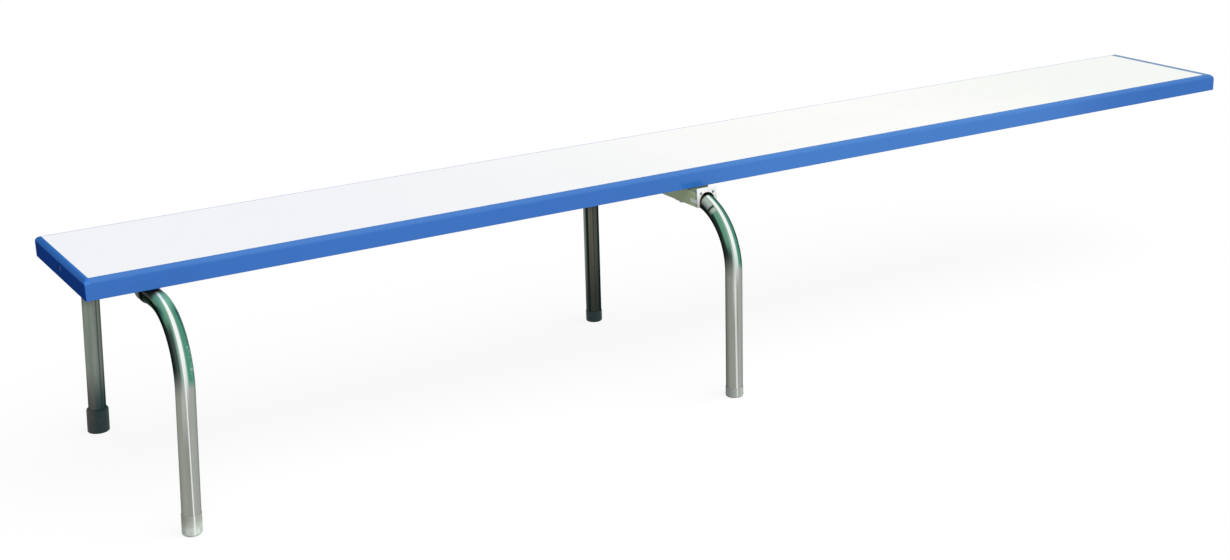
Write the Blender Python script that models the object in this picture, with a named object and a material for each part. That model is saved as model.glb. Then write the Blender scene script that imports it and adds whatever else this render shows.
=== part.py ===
"""Diving board carried by a rear and a front frame of bent tube.

The origin is on the floor under the middle of the board. X runs along the board towards its tip,
Y to its left and Z up. Lengths are in metres.
"""

from math import cos, pi, radians, sin, tan

import bmesh
import bpy
from mathutils import Matrix, Vector

# Gap between two pieces that rest on, or fit round, each other
CLEARANCE = 0.0003

# Board
BOARD_LENGTH = 3.400
BOARD_WIDTH = 0.400
BOARD_THICKNESS = 0.048
EDGE_RADIUS = 0.0125
TIP_RADIUS = 0.018
TIP_RIM = 0.016
SHELL_WALL = 0.0035
TREAD_THICKNESS = 0.0015
PANEL_THICKNESS = 0.003
DRAIN_DIAMETER = 0.010
DRAIN_COUNTERSINK = 0.015

# Timber core inside the board
STRINGER_WIDTH = 0.045
CENTRE_STRINGER_WIDTH = 0.060
CENTRE_STRINGER_STOP = 1.050
REAR_BLOCK_LENGTH = 0.150
FRONT_BLOCK_LENGTH = 0.110

# Tube frames
TUBE_DIAMETER = 0.043
TUBE_WALL = 0.002
FRAME_HEIGHT = 0.5087
LEG_OUTREACH = 0.152
BEND_RADIUS = 0.158
REAR_FEET_FROM_END = 0.130
FRONT_FEET_FROM_END = 1.5545
REAR_RAKE = radians(3)

# Fulcrum beam and pad over the front tube
BEAM_WALL = 0.0058
BEAM_DEPTH = 0.0405
BEAM_CROWN = 0.003
BEAM_OVERHANG = 0.0317
BEAM_CORNER_RADIUS = 0.003
PAD_THICKNESS = 0.0024

# End caps of the beam
CAP_THICKNESS = 0.004
CAP_BORDER = 0.0018
CAP_RISE = 0.0085
CAP_CORNER_RADIUS = 0.002
TAB_LENGTH = 0.027
TAB_HEIGHT = 0.009
TAB_DROP = 0.0255

# Cap screws
SCREW_DIAMETER = 0.004
SCREW_HEAD_DIAMETER = 0.007
SCREW_HEAD_HEIGHT = 0.0022
SCREW_REACH = 0.016
SCREW_INSET = 0.0095
SCREW_DROP = 0.0042

# Bolts, washers and inserts
BOLT_DIAMETER = 0.008
BOLT_HEAD_FLATS = 0.013
BOLT_HEAD_HEIGHT = 0.0053
BOLT_ENGAGEMENT = 0.020
WASHER_DIAMETER = 0.016
WASHER_THICKNESS = 0.0016
INSERT_DIAMETER = 0.014
INSERT_LENGTH = 0.025
FRONT_BOLTS_FROM_SIDE = 0.080
SADDLE_LENGTH = 0.026
SADDLE_WIDTH = 0.024
SADDLE_THICKNESS = 0.003

# Straps and cradles round the rear tube
STRAPS_FROM_SIDE = 0.080
STRAP_WIDTH = 0.030
STRAP_THICKNESS = 0.003
STRAP_EAR = 0.026
CRADLE_WIDTH = 0.040
CRADLE_WRAP = 0.0115

# Feet
SOLE_THICKNESS = 0.006
CAP_WALL = 0.0011
REAR_CAP_HEIGHT = 0.050
FRONT_LEFT_CAP_HEIGHT = 0.032
FRONT_RIGHT_CAP_HEIGHT = 0.026
CAP_SOLE_RADIUS = 0.004
REAR_CAP_SOLE_RADIUS = 0.008
BOOT_WALL = 0.0052
BOOT_HEIGHT = 0.060
BOOT_RADIUS = 0.0045

# Steps round a full circle
TUBE_SIDES = 24
BEND_STEPS = 10
ROUND_SIDES = 16
ARC_STEPS = 6
MERGE_DISTANCE = 1e-6

# Places that follow from the sizes
REAR_END = -BOARD_LENGTH / 2
TIP_END = BOARD_LENGTH / 2
TUBE_RADIUS = TUBE_DIAMETER / 2
SEAT_RADIUS = TUBE_RADIUS + CLEARANCE
AXIS_HEIGHT = FRAME_HEIGHT - TUBE_RADIUS
BEAM_TOP = FRAME_HEIGHT + CLEARANCE + BEAM_CROWN
BEAM_BOTTOM = BEAM_TOP - BEAM_DEPTH
UNDERSIDE = BEAM_TOP + CLEARANCE + PAD_THICKNESS + CLEARANCE
BOARD_TOP = UNDERSIDE + BOARD_THICKNESS
CAVITY_ROOF = BOARD_TOP - TREAD_THICKNESS - CLEARANCE - SHELL_WALL
CORE_BOTTOM = UNDERSIDE + PANEL_THICKNESS + CLEARANCE
CORE_TOP = CAVITY_ROOF - CLEARANCE
CORE_HALF_WIDTH = BOARD_WIDTH / 2 - EDGE_RADIUS
CORE_REAR = REAR_END + EDGE_RADIUS
CORE_FRONT = TIP_END - TIP_RADIUS
STRINGER_INNER = CORE_HALF_WIDTH - STRINGER_WIDTH
BEAM_HALF_WIDTH = SEAT_RADIUS + BEAM_WALL
BEAM_HALF_LENGTH = BOARD_WIDTH / 2 + BEAM_OVERHANG
LEG_Y = BOARD_WIDTH / 2 + LEG_OUTREACH
FRONT_BOLT_Y = BOARD_WIDTH / 2 - FRONT_BOLTS_FROM_SIDE
STRAP_Y = BOARD_WIDTH / 2 - STRAPS_FROM_SIDE
REAR_FEET_X = REAR_END + REAR_FEET_FROM_END
REAR_X = REAR_FEET_X + AXIS_HEIGHT * tan(REAR_RAKE)
FRONT_X = REAR_END + FRONT_FEET_FROM_END
STRAP_OUTER = SEAT_RADIUS + STRAP_THICKNESS
STRAP_BOLT_X = STRAP_OUTER + STRAP_EAR / 2
BOLT_HOLE_RADIUS = BOLT_DIAMETER / 2 + CLEARANCE

SIDES = (("left", 1), ("right", -1))
ENDS = (-1, 1)
FRONT_BOLTS = [(FRONT_X, side * FRONT_BOLT_Y) for _, side in SIDES]
REAR_BOLTS = [(REAR_X + end * STRAP_BOLT_X, side * STRAP_Y) for _, side in SIDES for end in ENDS]


def clear_scene():
    for old in list(bpy.data.objects):
        bpy.data.objects.remove(old)


def material(name, color, roughness, metallic=0.0):
    made = bpy.data.materials.new(name)
    made.use_nodes = True
    shader = made.node_tree.nodes["Principled BSDF"]
    shader.inputs["Base Color"].default_value = (*color, 1)
    shader.inputs["Roughness"].default_value = roughness
    shader.inputs["Metallic"].default_value = metallic
    return made


def part(name, shape, look, location=(0, 0, 0)):
    """A named object made from a bmesh, with its own material."""
    mesh = bpy.data.meshes.new(name)
    shape.to_mesh(mesh)
    shape.free()
    mesh.materials.append(material(name, *look))
    made = bpy.data.objects.new(name, mesh)
    made.location = location
    bpy.context.scene.collection.objects.link(made)
    return made


def carve(target, shape, operation="DIFFERENCE"):
    """Joins a shape to the target, or cuts it away, in the target's own coordinates."""
    mesh = bpy.data.meshes.new("tool")
    shape.to_mesh(mesh)
    shape.free()
    tool = bpy.data.objects.new("tool", mesh)
    tool.parent = target
    tool.hide_render = True
    tool.display_type = "WIRE"
    bpy.context.scene.collection.objects.link(tool)
    boolean = target.modifiers.new("carve", "BOOLEAN")
    boolean.operation = operation
    boolean.object = tool
    evaluated = target.evaluated_get(bpy.context.evaluated_depsgraph_get())
    carved = bpy.data.meshes.new_from_object(evaluated)
    target.modifiers.clear()
    target.data = carved
    bpy.data.objects.remove(tool)
    return target


def arc(centre, radius, start, end, steps=ARC_STEPS):
    """Points of an arc in a plane, with its angles in degrees."""
    turns = [radians(start + (end - start) * step / steps) for step in range(steps + 1)]
    return [(centre[0] + radius * cos(turn), centre[1] + radius * sin(turn)) for turn in turns]


def rectangle(low, high):
    return [low, (high[0], low[1]), high, (low[0], high[1])]


def prism(outline, axis, start, end):
    """A closed outline pushed along an axis: (y, z) points for X, (x, z) for Y and (x, y) for Z."""
    shape = bmesh.new()
    places = {
        "X": [(start, u, v) for u, v in outline],
        "Y": [(u, start, v) for u, v in outline],
        "Z": [(u, v, start) for u, v in outline],
    }
    push = {"X": Vector((1, 0, 0)), "Y": Vector((0, 1, 0)), "Z": Vector((0, 0, 1))}
    face = shape.faces.new([shape.verts.new(place) for place in places[axis]])
    pushed = bmesh.ops.extrude_face_region(shape, geom=[face])["geom"]
    moved = [item for item in pushed if isinstance(item, bmesh.types.BMVert)]
    bmesh.ops.translate(shape, verts=moved, vec=push[axis] * (end - start))
    bmesh.ops.recalc_face_normals(shape, faces=shape.faces)
    return shape


def rod(centre, radius, axis, start, end, sides=ROUND_SIDES):
    return prism(arc(centre, radius, 0, 360 - 360 / sides, sides - 1), axis, start, end)


def turned(profile, sides=TUBE_SIDES):
    """A profile of (radius, height) points turned about Z, with its ends on the axis."""
    shape = bmesh.new()
    points = [shape.verts.new((radius, 0, height)) for radius, height in profile]
    line = [shape.edges.new(pair) for pair in zip(points, points[1:])]
    bmesh.ops.spin(shape, geom=line, axis=(0, 0, 1), angle=2 * pi, steps=sides, use_merge=True)
    bmesh.ops.remove_doubles(shape, verts=shape.verts, dist=MERGE_DISTANCE)
    bmesh.ops.recalc_face_normals(shape, faces=shape.faces)
    return shape


def board_section(half_width, floor, roof, radius):
    """Cross-section of the board with both top corners rounded."""
    left = arc((-half_width + radius, roof - radius), radius, 180, 90)
    right = arc((half_width - radius, roof - radius), radius, 90, 0)
    return [(-half_width, floor), *left, *right, (half_width, floor)]


def board_side_view(rear, tip, floor, roof, rear_radius, tip_radius):
    """The board seen from its side, with the top edge of each end rounded."""
    back = arc((rear + rear_radius, roof - rear_radius), rear_radius, 180, 90)
    front = arc((tip - tip_radius, roof - tip_radius), tip_radius, 90, 0)
    return [(rear, floor), *back, *front, (tip, floor)]


def tread_outline(margin):
    """Plan of the recess for the tread, or of the tread itself with a margin inside it."""
    low = (CORE_REAR + margin, -CORE_HALF_WIDTH + margin)
    high = (CORE_FRONT - TIP_RIM - margin, CORE_HALF_WIDTH - margin)
    return rectangle(low, high)


def board_shell():
    """A moulded tray, open below: its section swept along it meets its side view swept across it."""
    half = BOARD_WIDTH / 2
    section = board_section(half, UNDERSIDE, BOARD_TOP, EDGE_RADIUS)
    shell = part("board_shell", prism(section, "X", REAR_END, TIP_END), BLUE)
    side_view = board_side_view(REAR_END, TIP_END, UNDERSIDE, BOARD_TOP, EDGE_RADIUS, TIP_RADIUS)
    carve(shell, prism(side_view, "Y", -BOARD_WIDTH, BOARD_WIDTH), "INTERSECT")

    below = UNDERSIDE - BOARD_THICKNESS
    inner_radius = EDGE_RADIUS - SHELL_WALL
    inner_section = board_section(half - SHELL_WALL, below, CAVITY_ROOF, inner_radius)
    inner_ends = (REAR_END + SHELL_WALL, TIP_END - SHELL_WALL)
    cavity = part("cavity", prism(inner_section, "X", *inner_ends), BLUE)
    inner_view = board_side_view(*inner_ends, below, CAVITY_ROOF, inner_radius, TIP_RADIUS - SHELL_WALL)
    carve(cavity, prism(inner_view, "Y", -BOARD_WIDTH, BOARD_WIDTH), "INTERSECT")
    hollow = bmesh.new()
    hollow.from_mesh(cavity.data)
    bpy.data.objects.remove(cavity)
    carve(shell, hollow)

    recess_floor = BOARD_TOP - TREAD_THICKNESS - CLEARANCE
    carve(shell, prism(tread_outline(0), "Z", recess_floor, BOARD_TOP + TREAD_THICKNESS))

    drain_height = UNDERSIDE + BOARD_THICKNESS / 2
    through = (REAR_END - SHELL_WALL, REAR_END + 2 * SHELL_WALL)
    carve(shell, rod((0, drain_height), DRAIN_DIAMETER / 2, "X", *through))
    cone = turned([
        (0, -SHELL_WALL),
        (DRAIN_COUNTERSINK / 2 + SHELL_WALL, -SHELL_WALL),
        (DRAIN_DIAMETER / 2, (DRAIN_COUNTERSINK - DRAIN_DIAMETER) / 2),
        (0, (DRAIN_COUNTERSINK - DRAIN_DIAMETER) / 2),
    ], ROUND_SIDES)
    bmesh.ops.transform(cone, verts=cone.verts, matrix=Matrix.Rotation(pi / 2, 4, "Y"))
    bmesh.ops.translate(cone, verts=cone.verts, vec=(REAR_END, 0, drain_height))
    carve(shell, cone)


def tread_surface():
    floor = BOARD_TOP - TREAD_THICKNESS
    part("tread_surface", prism(tread_outline(CLEARANCE), "Z", floor, BOARD_TOP), WHITE)


def underside_panel():
    reach = SHELL_WALL + CLEARANCE
    low = (REAR_END + reach, -BOARD_WIDTH / 2 + reach)
    high = (TIP_END - reach, BOARD_WIDTH / 2 - reach)
    shape = prism(rectangle(low, high), "Z", UNDERSIDE, UNDERSIDE + PANEL_THICKNESS)
    panel = part("underside_panel", shape, BLUE)
    for place in FRONT_BOLTS + REAR_BOLTS:
        carve(panel, rod(place, BOLT_HOLE_RADIUS, "Z", UNDERSIDE - PANEL_THICKNESS, CORE_BOTTOM))


def core_piece(name, rear, front, low_y, high_y, bolts=()):
    """A length of timber between the underside panel and the shell's roof."""
    outline = rectangle((rear, low_y), (front, high_y))
    piece = part(name, prism(outline, "Z", CORE_BOTTOM, CORE_TOP), TIMBER)
    for place in bolts:
        hole_radius = INSERT_DIAMETER / 2 + CLEARANCE
        hole_top = CORE_BOTTOM + INSERT_LENGTH + CLEARANCE
        carve(piece, rod(place, hole_radius, "Z", CORE_BOTTOM - PANEL_THICKNESS, hole_top))


def timber_core():
    """Two long stringers, a middle one that stops short of the tip, and a block over each frame."""
    rear = CORE_REAR + CLEARANCE
    front = CORE_FRONT - CLEARANCE
    core_piece("core_stringer_left", rear, front, STRINGER_INNER, CORE_HALF_WIDTH)
    core_piece("core_stringer_right", rear, front, -CORE_HALF_WIDTH, -STRINGER_INNER)
    half = STRINGER_INNER - CLEARANCE
    rear_block = (REAR_X - REAR_BLOCK_LENGTH / 2, REAR_X + REAR_BLOCK_LENGTH / 2)
    front_block = (FRONT_X - FRONT_BLOCK_LENGTH / 2, FRONT_X + FRONT_BLOCK_LENGTH / 2)
    core_piece("core_block_rear", *rear_block, -half, half, REAR_BOLTS)
    core_piece("core_block_front", *front_block, -half, half, FRONT_BOLTS)
    middle = CENTRE_STRINGER_WIDTH / 2
    between = (rear_block[1] + CLEARANCE, front_block[0] - CLEARANCE)
    beyond = (front_block[1] + CLEARANCE, TIP_END - CENTRE_STRINGER_STOP)
    core_piece("core_stringer_centre_rear", *between, -middle, middle)
    core_piece("core_stringer_centre_front", *beyond, -middle, middle)


def insert(name, place):
    """A threaded sleeve in a core block, with its mouth at the block's lower face."""
    top = CORE_BOTTOM + INSERT_LENGTH
    sleeve = part(name, rod(place, INSERT_DIAMETER / 2, "Z", CORE_BOTTOM, top), BRASS)
    carve(sleeve, rod(place, BOLT_HOLE_RADIUS, "Z", CORE_BOTTOM - PANEL_THICKNESS, top + INSERT_LENGTH))


def hex_bolt(name, place, seat):
    """A bolt pushed up from below: the seat is the height of the face that its head bears on."""
    reach = UNDERSIDE + PANEL_THICKNESS + BOLT_ENGAGEMENT
    head_top = seat - CLEARANCE
    corner = BOLT_HEAD_FLATS / 2 / cos(pi / 6)
    hexagon = arc(place, corner, 0, 300, 5)
    bolt = part(name, prism(hexagon, "Z", head_top - BOLT_HEAD_HEIGHT, head_top), STEEL)
    carve(bolt, rod(place, BOLT_DIAMETER / 2, "Z", head_top - BOLT_HEAD_HEIGHT / 2, reach), "UNION")


def bent_tube(name, x, rake):
    """One tube pushed up a leg, round a bend, across, round the other bend and down again."""
    axis_reach = AXIS_HEIGHT / cos(rake)
    foot = (SOLE_THICKNESS + CLEARANCE + TUBE_RADIUS * sin(rake)) / cos(rake)
    bend_start = axis_reach - BEND_RADIUS
    bend_y = LEG_Y - BEND_RADIUS
    shape = bmesh.new()
    wall = [shape.verts.new((radius, 0, 0)) for radius in (TUBE_RADIUS - TUBE_WALL, TUBE_RADIUS)]
    edge = shape.edges.new(wall)
    bmesh.ops.spin(shape, geom=[edge], axis=(0, 0, 1), angle=2 * pi, steps=TUBE_SIDES, use_merge=True)
    bmesh.ops.translate(shape, verts=shape.verts, vec=(0, LEG_Y, foot))

    def run(ring, step):
        pushed = bmesh.ops.extrude_face_region(shape, geom=ring)["geom"]
        moved = [item for item in pushed if isinstance(item, bmesh.types.BMVert)]
        bmesh.ops.translate(shape, verts=moved, vec=step)
        return pushed

    def bend(ring, centre_y):
        centre = (0, centre_y, bend_start)
        spun = bmesh.ops.spin(shape, geom=ring, cent=centre, axis=(1, 0, 0), angle=pi / 2, steps=BEND_STEPS)
        return spun["geom_last"]

    leg = bend_start - foot
    ring = run(shape.verts[:] + shape.edges[:] + shape.faces[:], (0, 0, leg))
    ring = bend(ring, bend_y)
    ring = run(ring, (0, -2 * bend_y, 0))
    ring = bend(ring, -bend_y)
    run(ring, (0, 0, -leg))
    bmesh.ops.recalc_face_normals(shape, faces=shape.faces)
    tube = part(name, shape, POLISHED, (x, 0, 0))
    tube.rotation_euler = (0, rake, 0)
    return tube


def arched_outline(half_width, top, corner_radius):
    """Section of the beam and its caps about the tube's axis, with an arch over the tube."""
    bottom = BEAM_BOTTOM - AXIS_HEIGHT
    left = arc((-half_width + corner_radius, top - corner_radius), corner_radius, 180, 90)
    right = arc((half_width - corner_radius, top - corner_radius), corner_radius, 90, 0)
    arch = arc((0, 0), SEAT_RADIUS, 0, 180, TUBE_SIDES // 2)
    outer = [(-half_width, bottom), *left, *right, (half_width, bottom)]
    return [*outer, (SEAT_RADIUS, bottom), *arch, (-SEAT_RADIUS, bottom)]


def screw_places():
    """Heights and offsets of the cap screws about the tube's axis."""
    height = BEAM_TOP - SCREW_DROP - AXIS_HEIGHT
    return [(end * (BEAM_HALF_WIDTH - SCREW_INSET), height) for end in ENDS]


def fulcrum_beam():
    outline = arched_outline(BEAM_HALF_WIDTH, BEAM_TOP - AXIS_HEIGHT, BEAM_CORNER_RADIUS)
    shape = prism(outline, "Y", -BEAM_HALF_LENGTH, BEAM_HALF_LENGTH)
    beam = part("fulcrum_beam", shape, OFF_WHITE, (FRONT_X, 0, AXIS_HEIGHT))
    for x, y in FRONT_BOLTS:
        carve(beam, rod((x - FRONT_X, y), BOLT_HOLE_RADIUS, "Z", 0, BEAM_TOP))
    depth = SCREW_REACH + 2 * CLEARANCE
    hole_radius = SCREW_DIAMETER / 2 + CLEARANCE
    for place in screw_places():
        for _, side in SIDES:
            end = side * BEAM_HALF_LENGTH
            carve(beam, rod(place, hole_radius, "Y", end - side * depth, end + side * depth))


def end_cap(name, side):
    """A plate over the end of the beam, with a tab along each wall of the beam."""
    half = BEAM_HALF_WIDTH + CAP_BORDER
    inner = side * (BEAM_HALF_LENGTH + CLEARANCE)
    outer = inner + side * CAP_THICKNESS
    outline = arched_outline(half, BEAM_TOP + CAP_RISE - AXIS_HEIGHT, CAP_CORNER_RADIUS)
    cap = part(name, prism(outline, "Y", inner, outer), WHITE, (FRONT_X, 0, AXIS_HEIGHT))
    tab_middle = BEAM_TOP - TAB_DROP - AXIS_HEIGHT
    for end in ENDS:
        low = (end * (BEAM_HALF_WIDTH + CLEARANCE), tab_middle - TAB_HEIGHT / 2)
        high = (end * half, tab_middle + TAB_HEIGHT / 2)
        tab = prism(rectangle(low, high), "Y", inner - side * TAB_LENGTH, inner + side * CAP_THICKNESS / 2)
        carve(cap, tab, "UNION")
    through = (inner - side * CAP_THICKNESS, outer + side * CAP_THICKNESS)
    for place in screw_places():
        carve(cap, rod(place, SCREW_DIAMETER / 2 + CLEARANCE, "Y", *through))
    return outer


def cap_screw(name, place, face, side):
    """A round-headed screw through the cap into the end of the beam."""
    x, height = place
    head = SCREW_HEAD_HEIGHT
    dome = [(SCREW_HEAD_DIAMETER / 2 * cos(turn), head * sin(turn)) for turn in (0, pi / 6, pi / 3)]
    tip = -(CAP_THICKNESS + 2 * CLEARANCE + SCREW_REACH)
    shank = SCREW_DIAMETER / 2
    profile = [(0, tip), (shank, tip), (shank, 0), *dome, (0, head)]
    shape = turned(profile, ROUND_SIDES)
    bmesh.ops.transform(shape, verts=shape.verts, matrix=Matrix.Rotation(-side * pi / 2, 4, "X"))
    part(name, shape, STEEL, (FRONT_X + x, face + side * CLEARANCE, AXIS_HEIGHT + height))


def front_support():
    tube = bent_tube("front_frame_tube", FRONT_X, 0)
    for x, y in FRONT_BOLTS:
        below = FRAME_HEIGHT - 2 * TUBE_DIAMETER
        carve(tube, rod((x - FRONT_X, y), BOLT_HOLE_RADIUS, "Z", below, FRAME_HEIGHT + TUBE_DIAMETER))
    fulcrum_beam()

    low = (FRONT_X - BEAM_HALF_WIDTH, -BOARD_WIDTH / 2)
    high = (FRONT_X + BEAM_HALF_WIDTH, BOARD_WIDTH / 2)
    pad_bottom = BEAM_TOP + CLEARANCE
    pad_top = pad_bottom + PAD_THICKNESS
    pad = part("fulcrum_pad", prism(rectangle(low, high), "Z", pad_bottom, pad_top), RUBBER)
    for place in FRONT_BOLTS:
        carve(pad, rod(place, BOLT_HOLE_RADIUS, "Z", BEAM_BOTTOM, pad_top + PAD_THICKNESS))

    for (word, side), place in zip(SIDES, FRONT_BOLTS):
        face = end_cap("beam_end_cap_" + word, side)
        for number, screw_place in enumerate(screw_places(), 1):
            cap_screw(f"end_cap_screw_{word}_{number}", screw_place, face, side)
        seat = AXIS_HEIGHT - SEAT_RADIUS - SADDLE_THICKNESS
        saddle_washer("saddle_washer_" + word, place, seat)
        hex_bolt("through_bolt_" + word, place, seat)
        insert("insert_front_" + word, place)


def saddle_washer(name, place, seat):
    """A block under the tube, hollowed to fit it, with a flat face for the bolt head."""
    x, y = place
    low = (x - SADDLE_LENGTH / 2, y - SADDLE_WIDTH / 2)
    high = (x + SADDLE_LENGTH / 2, y + SADDLE_WIDTH / 2)
    saddle = part(name, prism(rectangle(low, high), "Z", seat, AXIS_HEIGHT), STEEL)
    reach = SADDLE_WIDTH
    carve(saddle, rod((x, AXIS_HEIGHT), SEAT_RADIUS, "Y", y - reach, y + reach, 2 * TUBE_SIDES))
    carve(saddle, rod(place, BOLT_HOLE_RADIUS, "Z", seat - SADDLE_THICKNESS, AXIS_HEIGHT))


def strap_outline():
    """A band under the tube with an ear on each side, about the tube's axis."""
    top = UNDERSIDE - CLEARANCE - AXIS_HEIGHT
    ear_bottom = top - STRAP_THICKNESS
    ear_end = STRAP_OUTER + STRAP_EAR
    inner = arc((0, 0), SEAT_RADIUS, 180, 360, TUBE_SIDES // 2)
    outer = arc((0, 0), STRAP_OUTER, 0, -180, TUBE_SIDES // 2)
    left = [(-STRAP_OUTER, ear_bottom), (-ear_end, ear_bottom), (-ear_end, top), (-SEAT_RADIUS, top)]
    right = [(SEAT_RADIUS, top), (ear_end, top), (ear_end, ear_bottom), (STRAP_OUTER, ear_bottom)]
    return [*left, *inner, *right, *outer]


def cradle_outline():
    """A block over the tube, hollowed to fit it, that stays inside the strap."""
    half = SEAT_RADIUS - CLEARANCE
    top = UNDERSIDE - CLEARANCE - AXIS_HEIGHT
    bottom = TUBE_RADIUS - CRADLE_WRAP
    return rectangle((-half, bottom), (half, top))


def rear_support():
    bent_tube("rear_frame_tube", REAR_FEET_X, REAR_RAKE)
    ear_bottom = UNDERSIDE - CLEARANCE - STRAP_THICKNESS
    for word, side in SIDES:
        middle = side * STRAP_Y
        place = (REAR_X, middle, AXIS_HEIGHT)
        shape = prism(strap_outline(), "Y", -STRAP_WIDTH / 2, STRAP_WIDTH / 2)
        strap = part("rear_strap_" + word, shape, STEEL, place)
        shape = prism(cradle_outline(), "Y", -CRADLE_WIDTH / 2, CRADLE_WIDTH / 2)
        cradle = part("rear_cradle_" + word, shape, RUBBER, place)
        carve(cradle, rod((0, 0), SEAT_RADIUS, "Y", -CRADLE_WIDTH, CRADLE_WIDTH, 2 * TUBE_SIDES))
        for number, end in enumerate(ENDS, 1):
            offset = end * STRAP_BOLT_X
            low = -STRAP_THICKNESS
            carve(strap, rod((offset, 0), BOLT_HOLE_RADIUS, "Z", low, UNDERSIDE))
            bolt_place = (REAR_X + offset, middle)
            washer_top = ear_bottom - CLEARANCE
            washer_bottom = washer_top - WASHER_THICKNESS
            washer = rod(bolt_place, WASHER_DIAMETER / 2, "Z", washer_bottom, washer_top)
            washer = part(f"strap_washer_{word}_{number}", washer, STEEL)
            below = washer_bottom - WASHER_THICKNESS
            carve(washer, rod(bolt_place, BOLT_HOLE_RADIUS, "Z", below, ear_bottom))
            hex_bolt(f"strap_bolt_{word}_{number}", bolt_place, washer_bottom)
            insert(f"insert_rear_{word}_{number}", bolt_place)


def foot(name, look, x, side, rake, outer, height, sole_radius, rim_radius):
    """A cup on the end of a leg, turned about Z and leant with the leg so that its sole stays level."""
    bore = SEAT_RADIUS
    sole = arc((outer - sole_radius, sole_radius), sole_radius, -90, 0)
    rim = arc((outer - rim_radius, height - rim_radius), rim_radius, 0, 90, ARC_STEPS // 2)
    profile = [(0, 0), *sole, *rim, (bore, height), (bore, SOLE_THICKNESS), (0, SOLE_THICKNESS)]
    shape = turned(profile)
    lean = Matrix.Shear("XY", 4, (tan(rake), 0))
    bmesh.ops.transform(shape, verts=shape.verts, matrix=lean)
    part(name, shape, look, (x, side * LEG_Y, 0))


def feet():
    boot = (SEAT_RADIUS + BOOT_WALL, BOOT_HEIGHT, BOOT_RADIUS / 2, BOOT_RADIUS)
    foot("rear_left_boot", RUBBER, REAR_FEET_X, 1, REAR_RAKE, *boot)
    slim = SEAT_RADIUS + CAP_WALL
    rim = CAP_WALL / 2
    rear_cap = (slim, REAR_CAP_HEIGHT, REAR_CAP_SOLE_RADIUS, rim)
    foot("rear_right_cap", PALE_VINYL, REAR_FEET_X, -1, REAR_RAKE, *rear_cap)
    foot("front_left_cap", DARK_VINYL, FRONT_X, 1, 0, slim, FRONT_LEFT_CAP_HEIGHT, CAP_SOLE_RADIUS, rim)
    foot("front_right_cap", PALE_VINYL, FRONT_X, -1, 0, slim, FRONT_RIGHT_CAP_HEIGHT, CAP_SOLE_RADIUS, rim)


def smooth_round_faces():
    for made in bpy.data.objects:
        made.data.shade_smooth()
        made.data.set_sharp_from_angle(angle=radians(30))


# Looks: colour, roughness and metallic value
BLUE = ((0.055, 0.16, 0.49), 0.35)
WHITE = ((0.88, 0.89, 0.90), 0.6)
OFF_WHITE = ((0.72, 0.76, 0.66), 0.45)
TIMBER = ((0.52, 0.36, 0.20), 0.7)
POLISHED = ((0.62, 0.63, 0.60), 0.15, 1.0)
STEEL = ((0.56, 0.56, 0.55), 0.35, 1.0)
BRASS = ((0.72, 0.55, 0.25), 0.35, 1.0)
RUBBER = ((0.02, 0.03, 0.03), 0.7)
DARK_VINYL = ((0.025, 0.03, 0.028), 0.55)
PALE_VINYL = ((0.42, 0.45, 0.40), 0.5)

clear_scene()
board_shell()
tread_surface()
underside_panel()
timber_core()
front_support()
rear_support()
feet()
smooth_round_faces()
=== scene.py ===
from math import atan2, cos, hypot, pi, radians, sin, tan

import bmesh
import bpy
from mathutils import Matrix, Quaternion, Vector


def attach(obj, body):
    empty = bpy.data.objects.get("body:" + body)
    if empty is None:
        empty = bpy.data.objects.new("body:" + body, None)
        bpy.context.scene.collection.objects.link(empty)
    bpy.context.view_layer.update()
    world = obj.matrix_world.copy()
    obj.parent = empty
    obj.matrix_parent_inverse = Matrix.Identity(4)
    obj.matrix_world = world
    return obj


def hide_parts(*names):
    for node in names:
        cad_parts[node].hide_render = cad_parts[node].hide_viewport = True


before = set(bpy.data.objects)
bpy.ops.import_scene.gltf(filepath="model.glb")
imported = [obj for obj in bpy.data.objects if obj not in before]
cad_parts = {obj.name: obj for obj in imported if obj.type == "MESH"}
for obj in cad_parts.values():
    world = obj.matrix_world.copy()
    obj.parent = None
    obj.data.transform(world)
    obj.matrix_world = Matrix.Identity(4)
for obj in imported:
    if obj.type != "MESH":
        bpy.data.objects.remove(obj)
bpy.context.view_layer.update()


# Camera. It stands to the right of the board's rear end, 1.76 m above the floor, and looks along
# the board towards its tip. Its place and lens were solved from the board's edges and the feet.
camera_azimuth = radians(-30.5354)
camera_elevation = radians(18.1217)
camera_roll = radians(-1.5595)
camera_back = Vector((
    sin(camera_azimuth) * cos(camera_elevation),
    -cos(camera_azimuth) * cos(camera_elevation),
    sin(camera_elevation),
))
camera_data = bpy.data.cameras.new("camera")
camera_data.sensor_width = 36
focal_pixels = 1865.6
photo_width = 1230
camera_data.lens = focal_pixels / photo_width * camera_data.sensor_width
camera = bpy.data.objects.new("camera", camera_data)
camera.location = (-2.6394, -3.9985, 1.7590)
camera.rotation_mode = "QUATERNION"
camera_level = camera_back.to_track_quat("Z", "Y")
camera.rotation_quaternion = camera_level @ Quaternion((0, 0, 1), camera_roll)
bpy.context.scene.collection.objects.link(camera)
bpy.context.scene.camera = camera


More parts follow.
